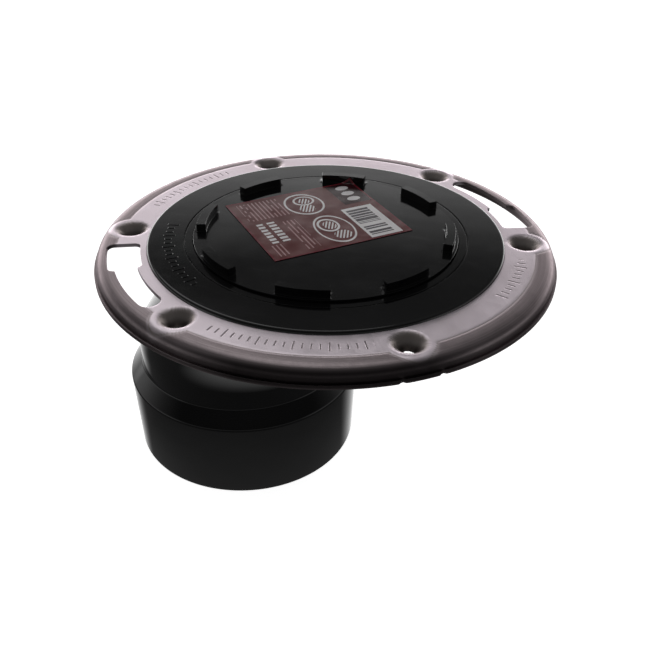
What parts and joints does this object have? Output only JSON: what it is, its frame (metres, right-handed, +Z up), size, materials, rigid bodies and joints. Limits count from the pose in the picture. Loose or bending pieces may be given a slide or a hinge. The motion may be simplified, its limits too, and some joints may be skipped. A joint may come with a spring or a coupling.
{
  "type": "toilet flange",
  "caption": "Black plastic toilet flange with an offset pipe hub, a swivelling slotted steel ring, and a castellated knockout disc closing its bowl.",
  "frame": {"origin": "on the ring's swivel axis, at the height of the pipe hub's end face, which the part stands on", "axes": "+Z up along the swivel axis, -X from the swivel axis towards the offset pipe hub"},
  "size_m": [0.1778, 0.1778, 0.1085],
  "materials": {
    "stainless_ring": "pressed stainless sheet, lightly brushed",
    "abs_flange": "moulded black ABS, satin gloss",
    "abs_knockout": "moulded black ABS, polished",
    "paper_label": "printed film label, semi-gloss"
  },
  "bodies": {
    "flange": {"flange_collar": "abs_flange", "offset_throat": "abs_flange", "pipe_hub": "abs_flange"},
    "ring": {"swivel_ring": "stainless_ring"},
    "knockout": {"test_knockout": "abs_knockout", "knockout_label": "paper_label"}
  },
  "joints": [
    {"name": "ring_swivel", "type": "hinge", "parent": "flange", "child": "ring", "pos_m": [0, 0, 0.1018], "axis": [0, 0, 1], "continuous": true},
    {"name": "knockout_lift", "type": "slide", "parent": "flange", "child": "knockout", "axis": [0, 0, 1], "range_m": [0, 0.06]}
  ]
}
